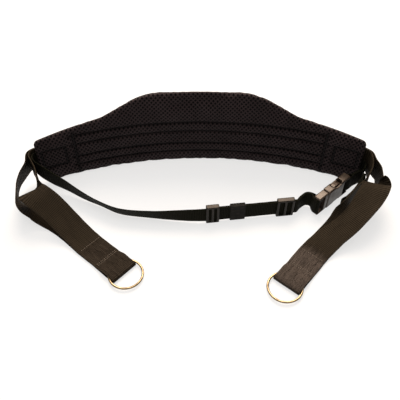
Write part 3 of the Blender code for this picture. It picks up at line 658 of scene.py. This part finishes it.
def build_pad():
    """The padded panel: a closed cloth, blown up, then pushed in at its sewing and the knit's holes."""
    points, faces, cloth, front_count = pad_shape(*PAD_GRID)
    pad = mesh_object("padded_panel", points, faces.tolist(), MATERIALS["air_mesh"], cloth)
    pad.data.materials.append(MATERIALS["pad_cloth"])
    index = np.zeros(len(faces), np.int32)
    index[front_count:] = 1
    pad.data.polygons.foreach_set("material_index", index)
    s, z, side = cloth[:, 0] / MM, cloth[:, 1] / MM, cloth[:, 2]
    along_row = np.abs(s) < GROOVE_HALF
    low, high = pad_edges(s)
    sewn = np.minimum(np.minimum(z - low, high - z), PAD_HALF - np.abs(s)) < HELD_RIM
    for height in GROOVES:
        sewn |= along_row & (np.abs(z - height) < 1.5)
    sewn |= (np.abs(np.abs(s) - CROSS_SEAM) < 1.6) & (z > 13) & (z < 76)
    sewn |= (np.abs(np.abs(s) - BOX_MIDDLE) < 18) & (np.abs(z - HANDLE_HEIGHT) < 17)
    for height in BANDS:
        sewn |= (side > 0.5) & (np.abs(z - height) < 14) & (np.abs(s) < 190)
    sewn |= (side > 0.5) & (np.abs(s) > BAND_HALF)
    inflate(pad, sewn, PRESSURE, LARGEST_MOVE * MM)
    subdivide(pad)
    cloth = read_cloth(pad)
    s, z, side = cloth[:, 0] / MM, cloth[:, 1] / MM, cloth[:, 2]
    places = read_points(pad)
    low, high = pad_edges(s)
    inner = np.minimum(np.minimum(z - low, high - z), PAD_HALF - np.abs(s))
    front = (side < 0.5) * smoothstep(inner / 4)
    knit = (side < 0.5) * (0.35 + 0.65 * smoothstep(inner / 3)) * 0.5 * hole_depth(s, z)
    push = front * sewn_depth(s, z) + knit
    outward = pad_point(s, 0 * s, 1.0) - pad_point(s, 0 * s, 0.0)
    write_points(pad, places + outward * (push * MM)[:, None])
    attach(pad, "pad")
    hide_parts("pad_lining", "pad_foam", "pad_shell")
    return pad


def surface_row(tree, line, side):
    """Points and normals on the pad along a line of (s, z). side -1 is the inner face, 1 the outer."""
    row = []
    for s, z in line:
        start = pad_point(s, z, 4.0 + 40.0 * side)
        outward = pad_point(s, z, 1.0) - pad_point(s, z, 0.0)
        hit = tree.ray_cast(Vector((start + SHIFT) * MM), Vector(outward * -side))
        if hit[0] is not None:
            row.append((np.array(hit[0]) / MM - SHIFT, outward * side))
    return row


def straight(start, end, step=2.0):
    """Places along a straight line of (s, z), about a step apart."""
    start, end = np.array(start, float), np.array(end, float)
    count = max(int(np.linalg.norm(end - start) / step), 1) + 1
    return [tuple(start + (end - start) * k / (count - 1)) for k in range(count)]


def box_lines(side):
    """A sewn box with its diagonals, at the strap ends on the pad."""
    a, b = (BOX_MIDDLE - BOX_HALF) * side, (BOX_MIDDLE + BOX_HALF) * side
    low, high = HANDLE_HEIGHT - BOX_HALF_UP, HANDLE_HEIGHT + BOX_HALF_UP
    corners = [(a, low), (b, low), (b, high), (a, high)]
    lines = [straight(corners[k], corners[(k + 1) % 4]) for k in range(4)]
    return lines + [straight(corners[0], corners[2]), straight(corners[1], corners[3])]


def build_pad_seams(pad):
    """Thread along the grooves, the cross seams and the edges of the sewn squares."""
    tree = BVHTree.FromObject(pad, bpy.context.evaluated_depsgraph_get())
    rows = [surface_row(tree, straight((-GROOVE_HALF, h), (GROOVE_HALF, h)), -1) for h in GROOVES]
    for side in (-1, 1):
        rows.append(surface_row(tree, straight((CROSS_SEAM * side, 14), (CROSS_SEAM * side, 75)), -1))
        rows += [surface_row(tree, line, -1) for line in box_lines(side)[:4]]
    seams = stitches("pad_seams", rows, MATERIALS["dark_thread"])
    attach(seams, "pad")


# ---------------------------------------------------------------- webbing on the pad and the waist
def pad_station(s, z, out, side=1):
    """A station of upright webbing against the pad."""
    x, y, _ = pad_point(side * s, z, out)
    return (x, y, z, 0, 0, 1)


def build_back_bands():
    """The two tapes sewn along the outer face of the pad."""
    for height, label in zip(BANDS, ("upper", "lower")):
        reach = np.linspace(-BAND_HALF, BAND_HALF, 13)
        stations = [pad_station(s, height, BAND_OUT + WEBBING / 2) for s in reach]
        tape = Strap(f"back_band_{label}_tape", stations, WAIST_WIDTH, MATERIALS["webbing"], waver=0.0)
        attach(tape.object, "pad")
        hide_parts(f"back_band_{label}")
        ends = (2.5, tape.run[-1] - 2.5)
        rows = []
        for aside in (-9.2, 9.2):
            rows.append([tape_spot(tape, d, aside) for d in np.arange(ends[0], ends[1], 2.5)])
        rows += [[tape_spot(tape, d, a) for a in np.arange(-9.2, 9.3, 2.3)] for d in ends]
        sewing = stitches(f"back_band_{label}_sewing", rows, MATERIALS["dark_thread"])
        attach(sewing, "pad")


def tape_spot(tape, distance, aside):
    """A point just off a strap's outer face, and the way that face looks."""
    at = tape.place(distance, aside, -(WEBBING / 2 + 0.05))
    return at, at - tape.place(distance, aside, 0.0)


def run_station(distance, side):
    """A station on the straight run of the waist webbing, side millimetres off its middle."""
    start, end = np.array(RUN_START), np.array(RUN_END)
    along = (end - start) / np.linalg.norm(end - start)
    x, y = start + along * distance + np.array((-along[1], along[0])) * side
    return (x, y, RUN_HEIGHT, 0, 0, 1)


def buckle_place(x):
    """A place x along the buckle's middle line, seen from above."""
    return (BUCKLE_AT[0] + x * cos(BUCKLE_TURN), BUCKLE_AT[1] + x * sin(BUCKLE_TURN))


def offset_path(stations, distance, count):
    """The curve through the stations, moved sideways by a distance."""
    path = spline(stations, count=count)
    along = np.gradient(path[:, :2], axis=0)
    along /= np.linalg.norm(along, axis=1)[:, None]
    path[:, 0] -= along[:, 1] * distance
    path[:, 1] += along[:, 0] * distance
    return path


def bight(stations, bar, bar_radius, count=26):
    """Two plies along the stations, which end at an upright bar, and round the bar."""
    reach = bar_radius + 1.2
    pitch = PLY / 2 + 0.02
    centre = spline(stations, count=count)
    left_over = np.linalg.norm(centre[:, :2] - np.array(bar), axis=1)
    spread = pitch + (reach - pitch) * (1 - smoothstep((left_over - reach) / (3 * reach)))
    first, second = (offset_path(stations, side * spread, count) for side in (1, -1))
    heading = centre[-1, :2] - centre[-2, :2]
    start = atan2(heading[1], heading[0]) + pi / 2
    turn = []
    for k in range(1, 8):
        angle = start - pi * k / 8
        turn.append([bar[0] + reach * cos(angle), bar[1] + reach * sin(angle), *centre[-1, 2:]])
    keep = left_over > 0.4 * reach
    return [list(p) for p in first[keep]] + turn + [list(p) for p in second[keep][::-1]]


def build_waist_strap():
    """The waist strap: from the left end of the pad, round the buckle's male bar and back along itself."""
    out = BAND_OUT + WEBBING / 2
    main = [pad_station(s, WAIST_HEIGHT, out, -1) for s in (192, 210, 229)]
    main += [(-232.6, 38.6, 42, 0, 0, 1), (-233.4, 32.8, 41.5, 0, 0, 1), (-230.6, 27.2, 40.5, 0, 0, 1)]
    main += [(-222, 21.5, 37, 0, 0, 1), (-207, 16, 28, 0, -0.05, 1), (-187, 9, 20, 0, -0.15, 1)]
    main += [(-164, -4, 15.2, 0, -0.3, 1), (-140, -17, 13.3, -0.1, -0.42, 1)]
    main += [(-111, -31.3, 12.8, 0, -0.42, 1), (-66, -37.8, 13, 0, -0.34, 1), (-33, -40.2, 14.3, 0, -0.16, 1)]
    main += [run_station(d, -PLY / 2) for d in (0, 30, 60, 95, 124)]
    bar = buckle_place(BAR_INSET)
    loop = [run_station(126.3, 0), run_station(129, 0), (138, -17, 15, 0, 0, 1)]
    loop += [(146.5, -11.5, 16, 0, 0, 1), (153.5, -13.6, 16.8, 0, 0, 1), (*bar, BUCKLE_AT[2], 0, 0, 1)]
    back = [run_station(d, PLY / 2) for d in (124, 90, 50, 12)]
    strap = Strap("waist_strap", main + bight(loop, bar, BAR_RADIUS)[::-1] + back, WAIST_WIDTH,
                  MATERIALS["webbing"])
    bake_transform(strap.object)
    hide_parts("waist_webbing", "waist_webbing_return", "buckle_loop_webbing")
    rows = []
    for d in (strap.run[-1] - 3, strap.run[-1] - 6):
        rows.append([tape_spot(strap, d, a) for a in np.arange(-9, 9.3, 2.2)])
    sewing = stitches("waist_strap_sewing", rows, MATERIALS["pale_thread"])
    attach(sewing, "pad")


def build_buckle_tab():
    """The webbing from the right end of the pad to the buckle's female bar, and the folded tail."""
    out = BAND_OUT + WEBBING / 2
    bar = buckle_place(BUCKLE_LENGTH - BAR_INSET)
    root = [pad_station(s, TAB_HEIGHT, out) for s in (192, 210, 229)]
    root += [(232.6, 38.6, 27, 0, 0, 1), (233.4, 32.8, 26.7, 0, 0, 1), (231.8, 28.2, 26.2, 0, 0, 1)]
    tab = [(228.3, 25.2, 24.5, 0, 0, 1), (222, 23.3, 22, 0, 0, 1), (215.5, 20.8, 19, 0, 0, 1)]
    tab += [(209, 18.6, BUCKLE_AT[2], 0, 0, 1), (*bar, BUCKLE_AT[2], 0, 0, 1)]
    strap = Strap("buckle_tab", root + bight(tab, bar, BAR_RADIUS, 14), WAIST_WIDTH, MATERIALS["webbing"])
    tail = [(231.4, 19.6, 27, 0, 0, 1), (224.5, 9.7, 22, 0, 0, 1)]
    tail += [(214, -4, 17, 0, 0, 1), (204, -14, 15, 0, 0, 1)]
    end = (194.5, -22.5)
    tail += [(*end, 14.2, 0, 0, 1)]
    folded = Strap("folded_tail", bight(tail, end, 0.9, 16), WAIST_WIDTH, MATERIALS["webbing"])
    for made, nodes in ((strap, ("buckle_tab_webbing", "tab_root_webbing")), (folded, ("webbing_tail",))):
        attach(made.object, "pad")
        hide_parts(*nodes)


# ---------------------------------------------------------------- hand straps and rings
def strap_end(fold, back, across):
    """Stations of the ring pocket: lower ply, fold and upper ply."""
    (fx, fy), (bx, by) = fold, np.array(back) / np.linalg.norm(back)
    middle, radius = (LOW_PLY + POCKET_PLY) / 2, (POCKET_PLY - LOW_PLY) / 2
    profile = [(38, LOW_PLY), (26, LOW_PLY), (12, LOW_PLY), (radius + 1, LOW_PLY)]
    for k in range(1, 6):
        angle = -pi / 2 + pi * k / 6
        profile.append((radius * (1 - cos(angle)) + 0.8, middle + radius * sin(angle)))
    profile += [(radius + 1, POCKET_PLY), (12, POCKET_PLY), (22.5, POCKET_PLY)]
    profile += POCKET_RAMP
    return [(fx + bx * d, fy + by * d, z, *across) for d, z in profile]


def left_route(a):
    """The left hand strap's two plies between the pad and its ring; a is the way across it on the floor."""
    lower = [pad_station(s, HANDLE_HEIGHT, OUTER_PLY, -1) for s in (*ENDS_SEWN, FREE_FROM)]
    lower += [(-238.2, 38.4, 40.3, 0.03, 0, 1), (-243, 26.5, 36.5, 0.22, -0.1, 1)]
    lower += [(-249.5, 9.5, 32, 0.25, -0.15, 1)]
    lower += [(-252, -3, 26, 0.22, -0.28, 0.95), (-250.5, -12, 22, 0.18, -0.42, 0.88)]
    lower += [(-246, -20.5, 17.7, 0.05, -0.6, 0.8)]
    lower += [(-237, -26.5, 14, -0.3, -0.75, 0.58), (-226, -28, 8.8, -0.45, -0.8, 0.36)]
    lower += [(-211, -32, 4, -0.6, -0.78, 0.13), (-194, -39.8, LOW_PLY + 0.4, *a)]
    lower += [(-178.8, -50.6, LOW_PLY, *a), (-162.7, -65, LOW_PLY, *a), (-146.7, -80, LOW_PLY, *a)]
    upper = [(-146.7, -80, TOP_PLY, *a), (-163.7, -64.6, 7, *a), (-180, -51.8, 17, *a)]
    upper += [(-197.4, -40, 32, -0.7, -0.7, 0), (-213, -33, 43.5, -0.8, -0.6, 0)]
    upper += [(-223.5, -26.5, 46, -0.87, -0.48, -0.05), (-225.5, -19, 38, -0.8, -0.42, -0.4)]
    upper += [(-222.5, -12, 33.5, -0.4, -0.2, -0.9), (-221.5, 0, 34.5, -0.05, 0, -1)]
    upper += [(-225, 11, 37.5, 0, 0, -1), (-231.5, 22, 40, 0, 0, -1)]
    upper += [(-236.4, 31, 41, 0, 0, -1), (-235.2, 38.8, 41, 0, 0, -1)]
    for s in (FREE_FROM, *ENDS_SEWN[::-1]):
        upper.append((*pad_station(s, HANDLE_HEIGHT, INNER_PLY, -1)[:3], 0, 0, -1))
    return lower, upper


def right_route(a):
    """The right hand strap's two plies."""
    lower = [pad_station(s, HANDLE_HEIGHT, INNER_PLY) for s in (*ENDS_SEWN, FREE_FROM)]
    lower += [(235.2, 38.8, 41, 0, 0, 1), (237.4, 30.3, 39, 0, 0, 1), (236, 17.4, 33, 0, 0, 1)]
    lower += [(227.5, 2.8, 25.5, 0, 0, 1), (214.8, -8.8, 22, 0, 0, 1), (205, -21.5, 19.8, -0.12, 0.1, 0.99)]
    lower += [(198.5, -37, 14, -0.56, 0.48, 0.66), (189.5, -52.5, 7.6, -0.72, 0.6, 0.3)]
    lower += [(176.5, -65, 2.9, -0.77, 0.64, 0.03), (152, -90.6, LOW_PLY + 0.3, *a)]
    lower += [(139, -105.8, LOW_PLY, *a)]
    upper = [(139, -105.3, TOP_PLY, *a), (152.3, -90.5, 3.8, *a), (173.7, -72.9, 9.5, -0.5, 0.86, -0.12)]
    upper += [(193.5, -61.2, 19.5, -0.39, 0.9, -0.18), (211.4, -47, 33, -0.46, 0.88, -0.14)]
    upper += [(226.2, -30.8, 43, -0.67, 0.74, -0.06), (233.7, -20, 47, -0.8, 0.57, -0.2)]
    upper += [(237.5, -12, 45, -0.72, 0.62, -0.34), (240.8, -5.2, 38, -0.6, 0.66, -0.46)]
    upper += [(244, 0, 30.5, -0.42, 0.64, -0.64), (248.5, 7, 28.5, -0.1, 0.38, -0.92)]
    upper += [(248.5, 17, 34, 0.08, 0.08, -1), (243.5, 28, 38.3, 0.13, 0, -1)]
    upper += [(238.8, 37.6, 40.5, 0.05, 0, -1)]
    for s in (FREE_FROM, *ENDS_SEWN[::-1]):
        upper.append((*pad_station(s, HANDLE_HEIGHT, OUTER_PLY)[:3], 0, 0, -1))
    return lower, upper


def build_hand_strap(label, fold, back, across, side, far_row):
    """A hand strap, its sewing, its sewn square on the back of the pad, and its ring."""
    lower, upper = (left_route if side < 0 else right_route)(across)
    strap = Strap(f"hand_strap_{label}", lower + strap_end(fold, back, across) + upper, HANDLE_WIDTH,
                  MATERIALS["handle_webbing"], waver=0.2)
    x, y, _ = pad_point(side * 230.5, HANDLE_HEIGHT, INNER_PLY + 0.9)
    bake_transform(strap.object)
    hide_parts(*[f"handle_{label}_{part}" for part in ("webbing", "outer_end", "inner_end")])

    unit = np.array(back) / np.linalg.norm(back)
    wide = np.array(across[:2]) / np.linalg.norm(across[:2])
    half = HANDLE_WIDTH / 2 - 3
    up = (0.0, 0.0, 1.0)

    def row(distance):
        places = []
        for a in np.linspace(-half, half, 17):
            x, y = np.array(fold) + unit * distance + wide * a
            height = np.interp(distance, *zip(*POCKET_RAMP))
            places.append(((x, y, height + WEBBING / 2 + 0.1), up))
        return places

    near = stitches(f"hand_strap_{label}_sewing_near", [row(34), row(36.5)], MATERIALS["pale_thread"], 2.9)
    far = stitches(f"hand_strap_{label}_sewing_far", [row(far_row)], MATERIALS["pale_thread"], 2.9)
    for sewing, node in ((near, "near"), (far, "far")):
        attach(sewing, f"handle_{label}")
        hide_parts(f"handle_{label}_tack_{node}")

    tree = BVHTree.FromObject(strap.object, bpy.context.evaluated_depsgraph_get())
    rows = [surface_row(tree, line, 1) for line in box_lines(side)]
    box = stitches(f"pad_{label}_box_sewing", rows, MATERIALS["dark_thread"])
    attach(box, "pad")
    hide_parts(f"pad_{label}_box_stitch")

    centre = np.array(fold) - unit * 1.0
    build_ring(f"ring_{label}", centre, weld=radians(-38 if side < 0 else 205))


def build_ring(name, centre, weld):
    """A ring of round wire, a little thicker and flatter at its weld."""
    around, sides = 120, 18
    points = []
    for k in range(around):
        turn = 2 * pi * k / around
        near = np.exp(-((turn - weld + pi) % (2 * pi) - pi) ** 2 / 0.012)
        wire = RING_WIRE * (1 + 0.1 * near + 0.012 * sin(5 * turn))
        for n in range(sides):
            angle = 2 * pi * n / sides
            radius = RING_RADIUS + wire * cos(angle) * (1 - 0.15 * near)
            points.append((centre[0] + radius * cos(turn), centre[1] + radius * sin(turn),
                           RING_HEIGHT + wire * sin(angle)))
    faces = tube_faces(around, sides, caps=False)
    last = (around - 1) * sides
    faces += [[last + n, last + (n + 1) % sides, (n + 1) % sides, n] for n in range(sides)]
    ring = mesh_object(f"{name}_wire", points, faces, MATERIALS["ring_metal"])
    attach(ring, name)
    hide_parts(name)


# ---------------------------------------------------------------- moulded parts
def soften(node, finish):
    """Gives a CAD node a moulded surface: an even skin with its corners eased."""
    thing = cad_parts[node]
    thing.data.materials.clear()
    thing.data.materials.append(finish)
    skin = thing.modifiers.new("skin", "REMESH")
    skin.mode = "VOXEL"
    skin.voxel_size = SKIN_VOXEL * MM
    skin.use_smooth_shade = True
    ease = thing.modifiers.new("ease", "SMOOTH")
    ease.factor = 0.5
    ease.iterations = SKIN_ROUNDS


def build_moulded_parts():
    """The buckle, the tri-glides and the keeper are the CAD nodes with an eased skin."""
    for node in ("buckle_male", "buckle_female", "latch_arm_upper", "latch_arm_lower"):
        soften(node, MATERIALS["buckle_plastic"])
    for node in ("tri_glide_left", "tri_glide_right"):
        soften(node, MATERIALS["slider_plastic"])
    soften("webbing_keeper", MATERIALS["elastic"])


# ---------------------------------------------------------------- surroundings
def build_floor():
    corners = [(FLOOR_HALF * x, FLOOR_HALF * y, -FLOOR_DROP) for x, y in ((-1, -1), (1, -1), (1, 1), (-1, 1))]
    f = Finish("floor")
    f.set(Base_Color=f.mix(f.noise(3.0), (0.2, 0.2, 0.2), (0.22, 0.22, 0.22)), Roughness=0.9,
          Specular_IOR_Level=0.05, Emission_Color=(1.0, 0.99, 0.98, 1.0), Emission_Strength=0.68)
    floor = mesh_object("floor", corners, [(0, 1, 2, 3)], f.material)


def add_light(name, place, aim, size, power, colour):
    lamp = bpy.data.lights.new(name, "AREA")
    lamp.shape = "DISK"
    lamp.size = size
    lamp.energy = power
    lamp.color = colour
    thing = bpy.data.objects.new(name, lamp)
    thing.location = place
    thing.rotation_euler = (Vector(aim) - Vector(place)).to_track_quat("-Z", "Y").to_euler()
    bpy.context.scene.collection.objects.link(thing)


def build_studio():
    scene = bpy.context.scene
    world = bpy.data.worlds.new("studio")
    world.use_nodes = True
    world.node_tree.nodes["Background"].inputs["Color"].default_value = (1.0, 0.985, 0.965, 1.0)
    world.node_tree.nodes["Background"].inputs["Strength"].default_value = 0.3
    scene.world = world
    add_light("key", (0.1, 1.0, 1.1), (0.02, 0.0, 0.0), 1.3, 58.0, (1.0, 0.86, 0.74))
    add_light("overhead", (-0.2, 0.0, 1.5), (0.0, 0.0, 0.0), 1.4, 14.0, (1.0, 0.97, 0.94))
    add_light("front", (0.3, -1.3, 0.9), (0.0, 0.05, 0.03), 1.0, 1.0, (0.95, 0.97, 1.0))
    scene.view_settings.view_transform = "Standard"


def build_camera():
    """Looks down at the belt from in front."""
    lens = bpy.data.cameras.new("camera")
    lens.sensor_width = SENSOR
    lens.lens = CAMERA_LENS
    thing = bpy.data.objects.new("camera", lens)
    thing.location = CAMERA_AT
    thing.rotation_euler = (radians(90 - CAMERA_DOWN), 0.0, 0.0)
    bpy.context.scene.collection.objects.link(thing)
    bpy.context.scene.camera = thing


# Where the painted highlight sits on each hand strap, and how strong it is
highlight_at = []
for place, brightness in zip(STRAPS.values(), HIGHLIGHT_STRENGTH):
    x, y = (np.array(place["fold"]) + HIGHLIGHT_CENTRE * np.array(place["back"]) + SHIFT[:2]) * MM
    highlight_at.append(((x, y, HIGHLIGHT_LEVEL * MM), brightness))
MATERIALS = {
    "air_mesh": air_mesh_finish(),
    "pad_cloth": pad_cloth_finish(),
    # painted shade: the upright straps' webbing is coloured darker than the hand straps' webbing, for faces
    # turned away from the light from above
    "webbing": webbing_finish("webbing", (0.0045, 0.0042, 0.0026), (0.0125, 0.0118, 0.0078), gloss=0.008),
    "handle_webbing": webbing_finish("handle_webbing", (0.0078, 0.0059, 0.0038), (0.0295, 0.0222, 0.0148),
                                     highlight_at=highlight_at),
    # painted reflection: the buckle plastic is coloured a warm tan, far lighter than the sliders' black, in
    # place of warm light reflected off it from above
    "buckle_plastic": plastic_finish("buckle_plastic", (0.023, 0.0152, 0.0103), 0.34, 0.42),
    "slider_plastic": plastic_finish("slider_plastic", (0.0035, 0.0028, 0.002), 0.36, 0.22),
    "elastic": elastic_finish(),
    "pale_thread": thread_finish("pale_thread", (0.09, 0.068, 0.05), (0.26, 0.205, 0.155)),
    "dark_thread": thread_finish("dark_thread", (0.004, 0.0035, 0.0035), (0.014, 0.012, 0.012)),
    "ring_metal": ring_finish(),
}

panel = build_pad()
build_pad_seams(panel)
build_back_bands()
build_waist_strap()
build_buckle_tab()
for label, place in STRAPS.items():
    build_hand_strap(label, **place)
build_moulded_parts()
build_floor()
build_studio()
build_camera()
